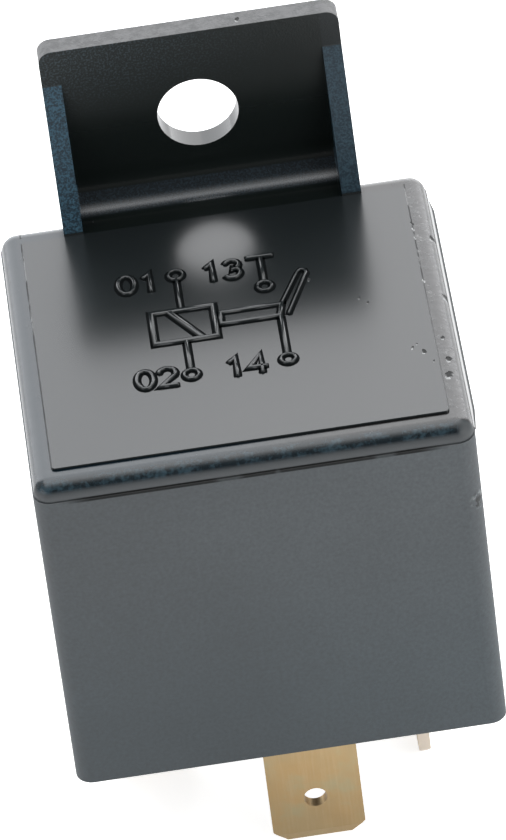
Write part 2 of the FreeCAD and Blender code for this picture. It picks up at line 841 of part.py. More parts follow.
save("cover", make_cover())
save("base", make_base())
save("common_terminal", make_common_terminal())
save("make_terminal", make_make_terminal())
save("front_coil_terminal", front_terminal)
save("rear_coil_terminal", rear_terminal)
save("yoke", make_yoke())
save("core", make_core())
save("bobbin", make_bobbin())
save("winding", make_winding())
save("armature", make_armature())
save("contact_spring", make_spring())
save("moving_contact", make_moving_contact())
save("fixed_contact", make_fixed_contact())
save("terminal_rivet", make_terminal_rivet())
save("stop_plate", make_stop_plate())
save("front_lead", make_lead(-1))
save("rear_lead", make_lead(1))
save("front_solder", make_solder(-1, front_terminal))
save("rear_solder", make_solder(1, rear_terminal))
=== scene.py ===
import math

import bmesh
import bpy
from mathutils import Matrix, Vector


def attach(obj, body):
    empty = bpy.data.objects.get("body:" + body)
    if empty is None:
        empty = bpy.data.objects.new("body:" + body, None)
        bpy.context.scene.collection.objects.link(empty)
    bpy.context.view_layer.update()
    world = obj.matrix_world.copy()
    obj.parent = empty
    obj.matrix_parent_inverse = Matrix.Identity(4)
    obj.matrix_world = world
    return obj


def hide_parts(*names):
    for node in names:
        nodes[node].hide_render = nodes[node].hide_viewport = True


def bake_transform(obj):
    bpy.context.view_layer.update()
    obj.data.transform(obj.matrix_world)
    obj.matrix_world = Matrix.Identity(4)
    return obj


mm = 0.001

print("loading the packed relay")
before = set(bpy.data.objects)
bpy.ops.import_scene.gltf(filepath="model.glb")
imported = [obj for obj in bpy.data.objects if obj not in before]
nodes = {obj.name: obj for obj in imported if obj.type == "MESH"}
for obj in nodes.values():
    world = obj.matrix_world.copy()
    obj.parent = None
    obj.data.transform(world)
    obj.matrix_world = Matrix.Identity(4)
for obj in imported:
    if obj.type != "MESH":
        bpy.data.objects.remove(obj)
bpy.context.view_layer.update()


def addMesh(name, build, materials, smooth):
    # build fills a bmesh in millimetres, the object is in metres
    work = bmesh.new()
    build(work)
    bmesh.ops.scale(work, vec=(mm, mm, mm), verts=work.verts)
    bmesh.ops.recalc_face_normals(work, faces=work.faces)
    mesh = bpy.data.meshes.new(name)
    work.to_mesh(mesh)
    work.free()
    for face in mesh.polygons:
        face.use_smooth = smooth
    for material in materials:
        mesh.materials.append(material)
    added = bpy.data.objects.new(name, mesh)
    bpy.context.scene.collection.objects.link(added)
    return added


def meshPiece(name, build, body, slotName, *materials, smooth=True):
    piece = addMesh(name, build, materials, smooth)
    if body:
        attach(piece, body)
    return piece


class Graph:
    # short way to write the nodes of a material or of the world
    def __init__(self, owner, coordinates):
        owner.use_nodes = True
        self.nodes = owner.node_tree.nodes
        self.links = owner.node_tree.links
        self.nodes.clear()
        self.place = self.nodes.new("ShaderNodeTexCoord").outputs[coordinates]

    def put(self, socket, value):
        if isinstance(value, bpy.types.NodeSocket):
            self.links.new(value, socket)
        elif socket.type == "RGBA":
            socket.default_value = (*value, 1.0)
        else:
            socket.default_value = value

    def node(self, kind, *values, **settings):
        # values go to the first sockets, in order
        added = self.nodes.new(kind)
        for key, value in settings.items():
            setattr(added, key, value)
        for socket, value in zip(added.inputs, values):
            self.put(socket, value)
        return added

    def math(self, operation, *values):
        return self.node("ShaderNodeMath", *values, operation=operation).outputs[0]

    def times(self, product, *factors):
        for factor in factors:
            product = self.math("MULTIPLY", product, factor)
        return product

    def most(self, *values):
        return self.math("MAXIMUM", *values)

    def inverse(self, value):
        return self.math("SUBTRACT", 1.0, value)

    def spread(self, value, base, gain):
        return self.math("MULTIPLY_ADD", value, gain, base)

    def ramp(self, value, low, high, fromValue=0.0, toValue=1.0):
        steps = (value, low, high, fromValue, toValue)
        return self.node("ShaderNodeMapRange", *steps, interpolation_type="SMOOTHSTEP").outputs[0]

    def fade(self, length, lowMm, highMm, fromValue=0.0, toValue=1.0):
        return self.ramp(length, lowMm * mm, highMm * mm, fromValue, toValue)

    def mix(self, factor, first, second):
        # the colours are the sockets 6 and 7, the numbers 2 and 3
        added = self.node("ShaderNodeMix", factor, data_type="RGBA")
        self.put(added.inputs[6], first)
        self.put(added.inputs[7], second)
        return added.outputs[2]

    def blend(self, factor, first, second):
        added = self.node("ShaderNodeMix", factor, data_type="FLOAT")
        self.put(added.inputs[2], first)
        self.put(added.inputs[3], second)
        return added.outputs[0]

    def apart(self, length, otherMm):
        return self.math("ABSOLUTE", self.math("SUBTRACT", length, otherMm * mm))

    def split(self, vector):
        return self.node("ShaderNodeSeparateXYZ", vector).outputs

    def scaled(self, vector, factor):
        added = self.node("ShaderNodeVectorMath", vector, operation="SCALE")
        self.put(added.inputs["Scale"], factor)
        return added.outputs[0]

    def distance(self, point, centreMm):
        centre = tuple(part * mm for part in centreMm)
        added = self.node("ShaderNodeVectorMath", point, centre, operation="DISTANCE")
        return added.outputs["Value"]

    def noise(self, sizeMm, detail, roughness, stretch=(1, 1, 1)):
        # sizeMm is about the width of one blob
        mapping = self.nodes.new("ShaderNodeMapping")
        texture = self.nodes.new("ShaderNodeTexNoise")
        self.put(mapping.inputs["Vector"], self.place)
        self.put(mapping.inputs["Scale"], stretch)
        self.put(texture.inputs["Vector"], mapping.outputs[0])
        self.put(texture.inputs["Scale"], 0.5 / (sizeMm * mm))
        self.put(texture.inputs["Detail"], detail)
        self.put(texture.inputs["Roughness"], roughness)
        return texture.outputs[0]

    def bump(self, height, depthMm, strength=1.0, below=None):
        added = self.nodes.new("ShaderNodeBump")
        self.put(added.inputs["Height"], height)
        self.put(added.inputs["Distance"], depthMm * mm)
        self.put(added.inputs["Strength"], strength)
        if below is not None:
            self.put(added.inputs["Normal"], below)
        return added.outputs[0]


class Finish(Graph):
    # a material with one shader
    def __init__(self, name):
        self.material = bpy.data.materials.new(name)
        super().__init__(self.material, "Object")
        output = self.nodes.new("ShaderNodeOutputMaterial")
        self.shader = self.nodes.new("ShaderNodeBsdfPrincipled")
        self.links.new(self.shader.outputs[0], output.inputs["Surface"])

    def set(self, **values):
        labels = {"color": "Base Color", "ior": "IOR", "specular": "Specular IOR Level",
                  "glow": "Emission Strength", "glowColor": "Emission Color"}
        for key, value in values.items():
            self.put(self.shader.inputs[labels.get(key, key.capitalize())], value)


print("mixing the finishes")

coverLook = {
    "tones": {
        "wall": (0.057, 0.066, 0.072), "wallShadedFoot": (0.041, 0.053, 0.060),
        "panel": (0.013, 0.0165, 0.0175), "plate": (0.0075, 0.0105, 0.0098),
        "rimLeft": (0.004, 0.014, 0.022), "rimRight": (0.012, 0.012, 0.012),
        "borderMottle": (0.040, 0.042, 0.043), "borderSpeck": (0.10, 0.10, 0.10),
        "edge": (0.006, 0.012, 0.016), "edgeSpark": (0.030, 0.056, 0.072),
        "capFoot": (0.050, 0.056, 0.060), "corner": (0.046, 0.053, 0.057),
        "root": (0.009, 0.014, 0.018), "rootSpark": (0.016, 0.026, 0.034),
        "gusset": (0.007, 0.022, 0.036), "gussetSpark": (0.027, 0.061, 0.084),
        "gussetSparkLeft": (0.034, 0.096, 0.142), "plateSpark": (0.052, 0.074, 0.086),
        "top": (0.016, 0.018, 0.019), "topSpark": (0.060, 0.061, 0.063),
        # the hollow colour also paints the shadow of the cap's step
        "hollow": (0.004, 0.005, 0.005), "torn": (0.27, 0.28, 0.28),
        "bruised": (0.17, 0.185, 0.19),
    },
    # size in mm, detail, roughness and stretch
    "noises": {
        "fine": (0.13, 2.0, 0.6), "cloud": (5.0, 3.0, 0.55), "speckle": (0.075, 1.0, 0.6),
        "patches": (0.9, 2.0, 0.6), "mottle": (0.34, 3.0, 0.62), "edgeGrain": (0.15, 2.0, 0.6),
        "specks": (0.16, 2.0, 0.6), "wave": (7.0, 1.0, 0.4),
        "dotted": (0.55, 3.0, 0.7, (0.2, 1, 0.2)),
    },
    # a noise, the levels where its spots begin and end, and their two shares
    "spots": {
        "root": ("speckle", 0.42, 0.68), "border": ("mottle", 0.46, 0.72),
        "speck": ("specks", 0.58, 0.74), "gusset": ("speckle", 0.36, 0.66),
        "plate": ("speckle", 0.44, 0.72), "top": ("mottle", 0.35, 0.65),
        "dotted": ("dotted", 0.46, 0.54), "paintedStepShadow": ("patches", 0.30, 0.42, 0.55, 1.0),
        "bruisePale": ("mottle", 0.50, 0.58), "bruiseDark": ("mottle", 0.46, 0.40, 0.0, 0.95),
    },
    # the front edge sparkles where the sum of two noises is high
    "sparkleShare": 0.6, "sparkleLevels": (0.54, 0.80),
    # zones, each a product of ramps: axis, the two places in mm and their two shares
    "places": {
        "cap": (("z", 24.22, 24.34),),
        "panel": (("z", 25.42, 25.46),),
        "bracket": (("acrossX", 8.80, 8.75), ("y", 12.20, 12.26)),
        "rootBand": (("z", 26.60, 26.48), ("z", 25.42, 25.50)),
        "rightSide": (("x", 12.94, 13.00),),
        "edge": (("y", -12.40, -12.85), ("z", 25.45, 25.38)),
        "capFoot": (("z", 25.08, 24.80),),
        "corner": (("x", 13.0, 13.9), ("y", -12.5, -12.9)),
        "gusset": (("acrossX", 8.66, 8.72), ("z", 25.60, 25.72), ("y", 15.59, 15.56)),
        "rightGusset": (("x", -1, 1),),
        "upperPlate": (("z", 31.5, 38.2), ("x", -9, 8, 1.0, 0.04)),
        "grainedPlate": (("z", 33.5, 38.2),),
        "dullPlate": (("z", 29.5, 34.0),),
        "top": (("z", 37.3, 37.5), ("y", 15.61, 15.64)),
        "rightRim": (("x", -6, 8),),
        "rimRelief": (("x", 12.0, 12.96, 0.3, 1.0),),
        "crown": (("y", -13.35, -12.30),),
        # painted shade: darker and bluer towards the wall's foot, darker towards its left
        "wallFootShade": (("z", 22, 2),),
        "wallShade": (("x", -8, 15, 0.88, 1.10),),
        "panelSideLine": (("besidePanel", 0.08, 0.03), ("y", -11.80, -11.60),
                     ("diagonal", -10.5, -14.5, 1.0, 0.5)),
        "panelSideLineSolid": (("y", 3.5, 2.0, 0.0, 0.8),),
        # painted shadow of the step between the cap and the front wall
        "paintedStepShadow": (("besideStepShadow", 0.18, 0.12), ("y", -13.2, -13.4), ("acrossX", 13.0, 10.5)),
        "bruise": (("fromBruise", 0.95, 0.57),),
    },
    "panelHalf": 12.96, "stepShadowZ": 24.22, "bruise": (14.10, -13.10, 19.15),
    # brightness of the wall's two noises: base and gain
    "wallShades": {"cloud": (0.80, 0.40), "fine": (0.575, 0.85)},
    # roughness, and for a noisy one its base and gain
    "roughness": {
        "wall": (0.55, 0.14), "rim": (0.16, 0.16), "panel": 0.203, "plate": 0.17, "root": 0.25,
        "capFoot": 0.5, "grained": 0.42, "dark": 0.75, "paintedStepShadow": 1.0,
    },
    # depth in mm and strength, one bump over the other
    "bumps": {
        "grain": (0.016, 1.0), "mottle": (0.024, 1.0), "crown": (0.13, 1.0), "knock": (0.10, 0.8),
        "wave": (0.02, 0.6),
    },
    "speckleRelief": 0.9, "ior": 1.57,
    # knocks on the roof: x, y and radius of the hollow in mm
    "chips": (
        (14.14, 6.85, 0.18), (14.36, 0.66, 0.27), (13.62, -6.30, 0.18), (13.42, -7.95, 0.23),
        (13.50, -4.05, 0.11), (11.42, -4.82, 0.10), (12.10, -5.40, 0.13), (11.74, -4.50, 0.07),
        (12.98, 8.20, 0.07), (5.55, 3.78, 0.08), (8.60, 1.10, 0.07), (9.10, 0.50, 0.07),
        (-7.96, 13.60, 0.06), (12.62, -6.55, 0.08), (3.40, 16.30, 0.14),
    ),
    # a chip's hollow and its pale torn side: shift and reach, in radii
    "chipParts": {"hollow": (0.0, 0.0, 1.15), "torn": (-0.45, -1.3, 0.80)},
    "chipCore": 0.55, "chipSquashY": 0.75, "chipRagged": 0.34,
    # bright pits in the panel's right edge
    "pits": ((12.96, 7.55, 0.13), (12.97, 6.60, 0.10), (12.98, 1.97, 0.14)), "pitCore": 0.5,
    "panelSideLineDepth": 0.7,
}


def coverZones(tree):
    # masks of the cover's parts, 1 inside and 0 outside
    x, y, z = tree.split(tree.place)
    acrossX = tree.math("ABSOLUTE", x)
    axes = {
        "x": x, "y": y, "z": z, "acrossX": acrossX, "diagonal": tree.math("SUBTRACT", y, x),
        "besidePanel": tree.apart(acrossX, coverLook["panelHalf"]),
        "besideStepShadow": tree.apart(z, coverLook["stepShadowZ"]),
        "fromBruise": tree.distance(tree.place, coverLook["bruise"]),
    }
    zone = {}
    for name, ramps in coverLook["places"].items():
        zone[name] = tree.times(*(tree.fade(axes[axis], *places) for axis, *places in ramps))
    zone["belowPanel"] = tree.inverse(zone["panel"])
    zone["border"] = tree.times(zone["rightSide"], zone["belowPanel"])
    zone["root"] = tree.times(zone["bracket"], zone["rootBand"])
    zone["plate"] = tree.times(zone["upperPlate"], tree.inverse(zone["gusset"]))
    return zone


def cleanCoverTone(tree, zone, noise, spots):
    # polished cap and bracket over textured walls, before the wear
    tone, share = coverLook["tones"], coverLook["sparkleShare"]
    sparkle = tree.spread(noise["patches"], tree.times(noise["edgeGrain"], share), share)
    sparkle = tree.ramp(sparkle, *coverLook["sparkleLevels"])
    edgeTone = tree.mix(sparkle, tone["edge"], tone["edgeSpark"])
    gussetSpark = tree.mix(zone["rightGusset"], tone["gussetSparkLeft"], tone["gussetSpark"])
    layers = (
        (zone["panel"], tone["panel"]),
        (zone["bracket"], tone["plate"]),
        (zone["root"], tree.mix(spots["root"], tone["root"], tone["rootSpark"])),
        (tree.times(zone["border"], spots["border"]), tone["borderMottle"]),
        (tree.times(zone["border"], spots["speck"]), tone["borderSpeck"]),
        (zone["edge"], tree.mix(zone["capFoot"], edgeTone, tone["capFoot"])),
        (zone["corner"], tone["corner"]),
        (zone["gusset"], tree.mix(spots["gusset"], tone["gusset"], gussetSpark)),
        (zone["plate"], tree.mix(spots["plate"], tone["plate"], tone["plateSpark"])),
        (zone["top"], tree.mix(spots["top"], tone["top"], tone["topSpark"])),
    )
    upper = tree.mix(zone["rightRim"], tone["rimLeft"], tone["rimRight"])
    for mask, layer in layers:
        upper = tree.mix(mask, upper, layer)
    # painted shade: walls a little darker and bluer towards their foot, and darker towards their
    # left
    wall = tree.mix(zone["wallFootShade"], tone["wall"], tone["wallShadedFoot"])
    shades = [tree.spread(noise[name], *shade) for name, shade in coverLook["wallShades"].items()]
    wall = tree.scaled(wall, tree.times(zone["wallShade"], *shades))
    return tree.mix(zone["cap"], wall, upper)


def chipMasks(tree, grain):
    # every chip's hollow, and the pale sides of chips and pits
    look = coverLook
    squashY, ragged = look["chipSquashY"], look["chipRagged"] * mm
    flat = tree.node("ShaderNodeVectorMath", tree.place, (1.0, squashY, 0.0),
                     operation="MULTIPLY").outputs[0]
    rough = tree.spread(grain, -0.5 * ragged, ragged)
    masks = {"hollow": 0.0, "torn": 0.0}
    for chipX, chipY, radius in look["chips"]:
        for part, values in look["chipParts"].items():
            shiftX, shiftY, reach = (value * radius for value in values)
            away = tree.distance(flat, (chipX + shiftX, (chipY + shiftY) * squashY, 0))
            spot = tree.fade(tree.math("ADD", away, rough), reach, look["chipCore"] * reach)
            masks[part] = tree.most(masks[part], spot)
    torn = tree.times(masks["torn"], tree.inverse(masks["hollow"]))
    for pitX, pitY, radius in look["pits"]:
        away = tree.distance(flat, (pitX, pitY * squashY, 0))
        torn = tree.most(torn, tree.fade(away, radius, look["pitCore"] * radius))
    return masks["hollow"], torn


def coverRoughnessMap(tree, zone, noise, dark, paintedStepShadow):
    rough = coverLook["roughness"]
    layers = (
        (zone["panel"], rough["panel"]),
        (zone["bracket"], rough["plate"]),
        (zone["root"], rough["root"]),
        (tree.most(zone["corner"], tree.times(zone["edge"], zone["capFoot"])), rough["capFoot"]),
        (tree.most(zone["gusset"], zone["dullPlate"]), rough["grained"]),
        (dark, rough["dark"]),
    )
    upper = tree.spread(noise["mottle"], *rough["rim"])
    for mask, value in layers:
        upper = tree.blend(mask, upper, value)
    whole = tree.blend(zone["cap"], tree.spread(noise["fine"], *rough["wall"]), upper)
    return tree.blend(paintedStepShadow, whole, rough["paintedStepShadow"])


def coverNormal(tree, zone, noise, hollow):
    # grain, mottled rim, rounded front edge, chips and a slow wave
    grained = tree.times(noise["speckle"], tree.most(zone["gusset"], zone["grainedPlate"]))
    onRim = tree.most(tree.times(zone["cap"], zone["belowPanel"]), zone["top"])
    onWall = tree.times(noise["fine"], tree.inverse(zone["cap"]))
    heights = {
        "grain": tree.spread(grained, onWall, coverLook["speckleRelief"]),
        "mottle": tree.times(noise["mottle"], onRim, zone["rimRelief"]),
        "crown": tree.times(zone["crown"], zone["cap"]),
        "knock": tree.times(tree.inverse(hollow), zone["cap"]),
        "wave": noise["wave"],
    }
    normal = None
    for name, (depthMm, strength) in coverLook["bumps"].items():
        normal = tree.bump(heights[name], depthMm, strength, normal)
    return normal


def coverPlasticFinish():
    look = coverLook
    tree = Finish("coverPlastic")
    zone = coverZones(tree)
    noise = {name: tree.noise(*values) for name, values in look["noises"].items()}
    spots = {name: tree.ramp(noise[grain], *levels)
             for name, (grain, *levels) in look["spots"].items()}
    hollow, torn = chipMasks(tree, noise["specks"])
    # dark lines along the panel's sides, dotted on their rear part
    panelSideLines = tree.times(zone["panelSideLine"], tree.most(spots["dotted"], zone["panelSideLineSolid"]),
                      tree.spread(torn, look["panelSideLineDepth"], -look["panelSideLineDepth"]))
    # painted shadow of the step between the cap and the front wall, lost near the corners
    paintedStepShadow = tree.times(zone["paintedStepShadow"], spots["paintedStepShadow"])
    dark = tree.most(tree.times(tree.most(hollow, panelSideLines), zone["cap"]), paintedStepShadow)
    dark = tree.most(dark, tree.times(zone["bruise"], spots["bruiseDark"]))
    tone = cleanCoverTone(tree, zone, noise, spots)
    tone = tree.mix(tree.times(torn, zone["cap"]), tone, look["tones"]["torn"])
    bruisePale = tree.times(zone["bruise"], spots["bruisePale"])
    tone = tree.mix(bruisePale, tone, look["tones"]["bruised"])
    # the dark marks take the hollow colour: chip hollows, the dark lines beside the panel and the
    # painted step shadow
    tree.set(color=tree.mix(dark, tone, look["tones"]["hollow"]), ior=look["ior"])
    tree.set(roughness=coverRoughnessMap(tree, zone, noise, dark, paintedStepShadow))
    tree.set(normal=coverNormal(tree, zone, noise, hollow))
    return tree.material


# finishes with one mottled colour; grain and cloud give a noise: size in mm, detail, roughness
plainLooks = {
    # dull shadowed foot of the raised marks
    "markGroove": {"grain": (0.12, 2.0, 0.6), "dark": (0.004, 0.005, 0.005),
                   "light": (0.009, 0.010, 0.011), "roughness": (0.60, 0.2), "ior": 1.08},
    # painted highlight on the top of the thin edge where the mould halves meet
    "flashTopHighlight": {"grain": (0.5, 3.0, 0.6), "stretch": (1, 0.3, 1),
                      "dark": (0.62, 0.63, 0.63), "light": (0.78, 0.78, 0.77),
                      "roughness": (0.40, 0.2), "ior": 1.5},
    # dull grey outer lip of that edge
    "dullLip": {"grain": (0.3, 2.0, 0.6), "dark": (0.080, 0.084, 0.086),
                "light": (0.150, 0.155, 0.157), "roughness": (0.65, 0.2), "ior": 1.2},
    "basePlastic": {"grain": (0.15, 2.0, 0.6), "cloud": (3.5, 3.0, 0.5),
                    "dark": (0.020, 0.021, 0.022), "light": (0.032, 0.034, 0.035),
                    "roughness": (0.45, 0.15), "ior": 1.55, "bumpMm": 0.008},
    "bobbinNylon": {"grain": (0.2, 2.0, 0.6), "cloud": (3.0, 3.0, 0.5),
                    "dark": (0.60, 0.57, 0.50), "light": (0.70, 0.67, 0.60),
                    "roughness": (0.42, 0.12), "ior": 1.52, "bumpMm": 0.006},
}


def plainFinish(name):
    look = plainLooks[name]
    tree = Finish(name)
    grain = tree.noise(*look["grain"], look.get("stretch", (1, 1, 1)))
    cloud = tree.noise(*look["cloud"]) if "cloud" in look else grain
    tree.set(color=tree.mix(cloud, look["dark"], look["light"]), ior=look["ior"])
    tree.set(roughness=tree.spread(grain, *look["roughness"]))
    if "bumpMm" in look:
        tree.set(normal=tree.bump(grain, look["bumpMm"]))
    return tree.material


brassLook = {
    "warm": (0.40, 0.30, 0.165), "orange": (0.43, 0.295, 0.145), "green": (0.35, 0.31, 0.19),
    "brushed": (0.52, 0.40, 0.25), "narrow": (0.68, 0.60, 0.51), "makeBladeX": (8.4, 8.6),
    "tipZ": (-11.9, -1.0), "tipShade": (0.78, 0.98), "stainShade": 0.24,
    "sideX": (-3.2, 3.2), "sideShade": (0.90, 1.02), "roughness": (0.30, 0.18),
    "bump": (0.004, 0.8),
    # noises, and the levels and shares of their spots
    "cloud": (2.6, 3.0, 0.55), "stain": (1.1, 4.0, 0.6), "rolled": (0.09, 3.0, 0.6, (1, 1, 0.05)),
    "cloudSpots": (0.35, 0.65), "stainSpots": (0.50, 0.72, 0.0, 0.75),
    "rolledSpots": (0.45, 0.75, 0.0, 0.25), "narrowFacing": (0.80, 0.40),
}


def bladeBrassFinish():
    look = brassLook
    tree = Finish("bladeBrass")
    axes = tree.split(tree.place)
    x, z = axes[0], axes[2]
    cloud, stain, rolled = (tree.noise(*look[name]) for name in ("cloud", "stain", "rolled"))
    tone = tree.mix(tree.ramp(cloud, *look["cloudSpots"]), look["warm"], look["orange"])
    tone = tree.mix(tree.ramp(stain, *look["stainSpots"]), tone, look["green"])
    tone = tree.mix(tree.ramp(rolled, *look["rolledSpots"]), tone, look["brushed"])
    # pale narrow sides on the make blade
    facing = tree.split(tree.nodes.new("ShaderNodeNewGeometry").outputs["Normal"])
    narrow = tree.ramp(tree.math("ABSOLUTE", facing[0]), *look["narrowFacing"])
    tone = tree.mix(tree.times(narrow, tree.fade(x, *look["makeBladeX"])), tone, look["narrow"])
    # tips a little darker than the part under the base
    tipShade = tree.fade(z, *look["tipZ"], *look["tipShade"])
    tipShade = tree.spread(stain, tipShade, look["stainShade"])
    # painted shade: the blades darker towards the relay's left
    sideShade = tree.fade(x, *look["sideX"], *look["sideShade"])
    tree.set(color=tree.scaled(tone, tree.times(tipShade, sideShade)), metallic=1.0)
    tree.set(roughness=tree.spread(rolled, *look["roughness"]))
    tree.set(normal=tree.bump(rolled, *look["bump"]))
    return tree.material


metalLooks = {
    # tint, lowest roughness, size, depth and stretch of the grain in mm
    "platedSteel": ((0.66, 0.67, 0.66), 0.24, 0.12, 0.004, (1, 1, 1)),
    "springBronze": ((0.72, 0.47, 0.28), 0.20, 0.08, 0.003, (0.06, 1, 0.06)),
    "contactSilver": ((0.86, 0.85, 0.82), 0.14, 0.20, 0.004, (1, 1, 1)),
    "rivetSteel": ((0.58, 0.57, 0.55), 0.26, 0.15, 0.006, (1, 1, 1)),
    "solderTin": ((0.74, 0.74, 0.73), 0.16, 0.9, 0.03, (1, 1, 1)),
}
metalShare = {"shaded": 0.82, "roughnessGain": 0.2, "cloud": (2.2, 3.0, 0.5), "grain": (3.0, 0.6)}


def metalFinish(name):
    tint, roughness, grainMm, depthMm, stretch = metalLooks[name]
    tree = Finish(name)
    cloud = tree.noise(*metalShare["cloud"])
    grain = tree.noise(grainMm, *metalShare["grain"], stretch)
    shaded = tuple(metalShare["shaded"] * part for part in tint)
    tree.set(color=tree.mix(cloud, shaded, tint), metallic=1.0, normal=tree.bump(grain, depthMm))
    tree.set(roughness=tree.spread(grain, roughness, metalShare["roughnessGain"]))
    return tree.material


copperLook = {
    "wireMm": 0.16, "red": (0.42, 0.105, 0.035), "orange": (0.52, 0.16, 0.05),
    "between": (0.16, 0.035, 0.012), "roughness": (0.26, 0.12), "metallic": 0.7,
    "turnMm": 0.04, "leadMm": 0.01, "cloud": (1.6, 2.0, 0.5), "cloudSpots": (0.3, 0.7),
    "betweenTurns": (-1.0, -0.3),
}


def enamelledCopperFinish(name, wound):
    # wound wire shows its turns, one above the other, with painted shade between them
    look = copperLook
    tree = Finish(name)
    cloud = tree.noise(*look["cloud"])
    tone = tree.mix(tree.ramp(cloud, *look["cloudSpots"]), look["red"], look["orange"])
    if wound:
        z = tree.split(tree.place)[2]
        turn = tree.math("SINE", tree.times(z, 2 * math.pi / (look["wireMm"] * mm)))
        # painted shade in the creases between the turns
        tone = tree.mix(tree.ramp(turn, *look["betweenTurns"]), look["between"], tone)
        tree.set(normal=tree.bump(turn, look["turnMm"]))
    else:
        tree.set(normal=tree.bump(cloud, look["leadMm"]))
    tree.set(color=tone, metallic=look["metallic"])
    tree.set(roughness=tree.spread(cloud, *look["roughness"]))
    return tree.material


finishes = {
    "coverPlastic": coverPlasticFinish(),
    "bladeBrass": bladeBrassFinish(),
    "windingCopper": enamelledCopperFinish("windingCopper", True),
    "leadCopper": enamelledCopperFinish("leadCopper", False),
}
for finishName in plainLooks:
    finishes[finishName] = plainFinish(finishName)
for finishName in metalLooks:
    finishes[finishName] = metalFinish(finishName)

nodeFinishes = {
    "cover": "coverPlastic", "base": "basePlastic", "bobbin": "bobbinNylon",
    "common_terminal": "bladeBrass", "make_terminal": "bladeBrass",
    "front_coil_terminal": "bladeBrass", "rear_coil_terminal": "bladeBrass",
    "yoke": "platedSteel", "core": "platedSteel", "armature": "platedSteel",
    "stop_plate": "platedSteel", "winding": "windingCopper",
    "front_lead": "leadCopper", "rear_lead": "leadCopper", "contact_spring": "springBronze",
    "moving_contact": "contactSilver", "fixed_contact": "contactSilver",
    "terminal_rivet": "rivetSteel", "front_solder": "solderTin", "rear_solder": "solderTin",
}
for nodeName, finishName in nodeFinishes.items():
    mesh = nodes[nodeName].data
    mesh.materials.clear()
    mesh.materials.append(finishes[finishName])


print("raising the circuit marking")

# flat-topped ridges on the roof panel, each with a dark foot beside it, in mm
ridgeShape = {
    "level": 25.56, "sunk": 0.02, "rise": 0.19, "groove": 0.16, "footRise": 0.006,
    # share of a stroke's width and of the rise at the ridge's corners
    "halfShare": 0.36, "draft": 0.03, "shoulder": (0.80, 0.75), "crest": 0.55,
    # an end's dome: reach along the stroke and squeeze across it
    "dome": ((0.5, 0.86), (0.86, 0.5)),
    # a stroke widens no more than this at a sharp corner
    "leastCosine": 0.5,
}


def joinRows(work, first, second):
    # quads between two loops of the same length
    count = len(first)
    faces = []
    for index in range(count):
        following = (index + 1) % count
        corners = (first[index], first[following], second[following], second[index])
        faces.append(work.faces.new(corners))
    return faces


def strokeRow(work, section, points, index, closed):
    # the section set across the path at one of its points
    point, count = points[index], len(points)
    runs = []
    if closed or index > 0:
        runs.append((point - points[index - 1]).normalized())
    if closed or index < count - 1:
        runs.append((points[(index + 1) % count] - point).normalized())
    along = sum(runs, Vector((0, 0))).normalized()
    side = Vector((-along.y, along.x))
    cosine = side.dot(Vector((-runs[0].y, runs[0].x)))
    stretch = 1.0 / max(ridgeShape["leastCosine"], cosine)
    row = []
    for offset, height in section:
        spot = point + side * offset * stretch
        row.append(work.verts.new((spot.x, spot.y, ridgeShape["level"] + height)))
    return row


def roundEnd(work, row, toward, half):
    # closes a stroke's end with a short dome
    faces = []
    foot = ridgeShape["level"] - ridgeShape["sunk"]
    middle = sum((vert.co for vert in row), Vector()) / len(row)
    previous = row
    for reach, squeeze in ridgeShape["dome"]:
        ring = []
        for vert in row:
            across = (vert.co - middle) * squeeze
            spot = (middle.x + across.x + toward.x * half * reach,
                    middle.y + across.y + toward.y * half * reach,
                    foot + (vert.co.z - foot) * squeeze)
            ring.append(work.verts.new(spot))
        faces += joinRows(work, previous, ring)
        previous = ring
    faces.append(work.faces.new(previous))
    return faces


def sweep(work, section, path, closed, slot):
    points = [Vector(point) for point in path]
    rows = [strokeRow(work, section, points, index, closed) for index in range(len(points))]
    pairs = list(zip(rows[:-1], rows[1:]))
    if closed:
        pairs.append((rows[-1], rows[0]))
    faces = []
    for first, second in pairs:
        faces += joinRows(work, first, second)
    if not closed:
        ends = ((rows[0], points[0] - points[1]), (rows[-1], points[-1] - points[-2]))
        for row, toward in ends:
            faces += roundEnd(work, row, toward.normalized(), section[0][0])
    for face in faces:
        face.material_index = slot


def bead(work, path, width, closed=False):
    half = ridgeShape["halfShare"] * width
    outer = half + ridgeShape["groove"]
    rise, sunk = ridgeShape["rise"], ridgeShape["sunk"]
    shoulderShare, shoulderRise = ridgeShape["shoulder"]
    ridge = [(half, -sunk), (half, ridgeShape["draft"]),
             (shoulderShare * half, shoulderRise * rise), (ridgeShape["crest"] * half, rise)]
    foot = [(outer, -sunk), (outer, ridgeShape["footRise"])]
    for slot, profile in enumerate((ridge, foot)):
        mirrored = [(-offset, height) for offset, height in reversed(profile)]
        sweep(work, profile + mirrored, path, closed, slot)


def arcPath(centre, radius, fromDegrees, toDegrees, steps, squeeze=1.0):
    path = []
    for step in range(steps + 1):
        angle = math.radians(fromDegrees + (toDegrees - fromDegrees) * step / steps)
        path.append((centre[0] + radius * squeeze * math.cos(angle),
                     centre[1] + radius * math.sin(angle)))
    return path


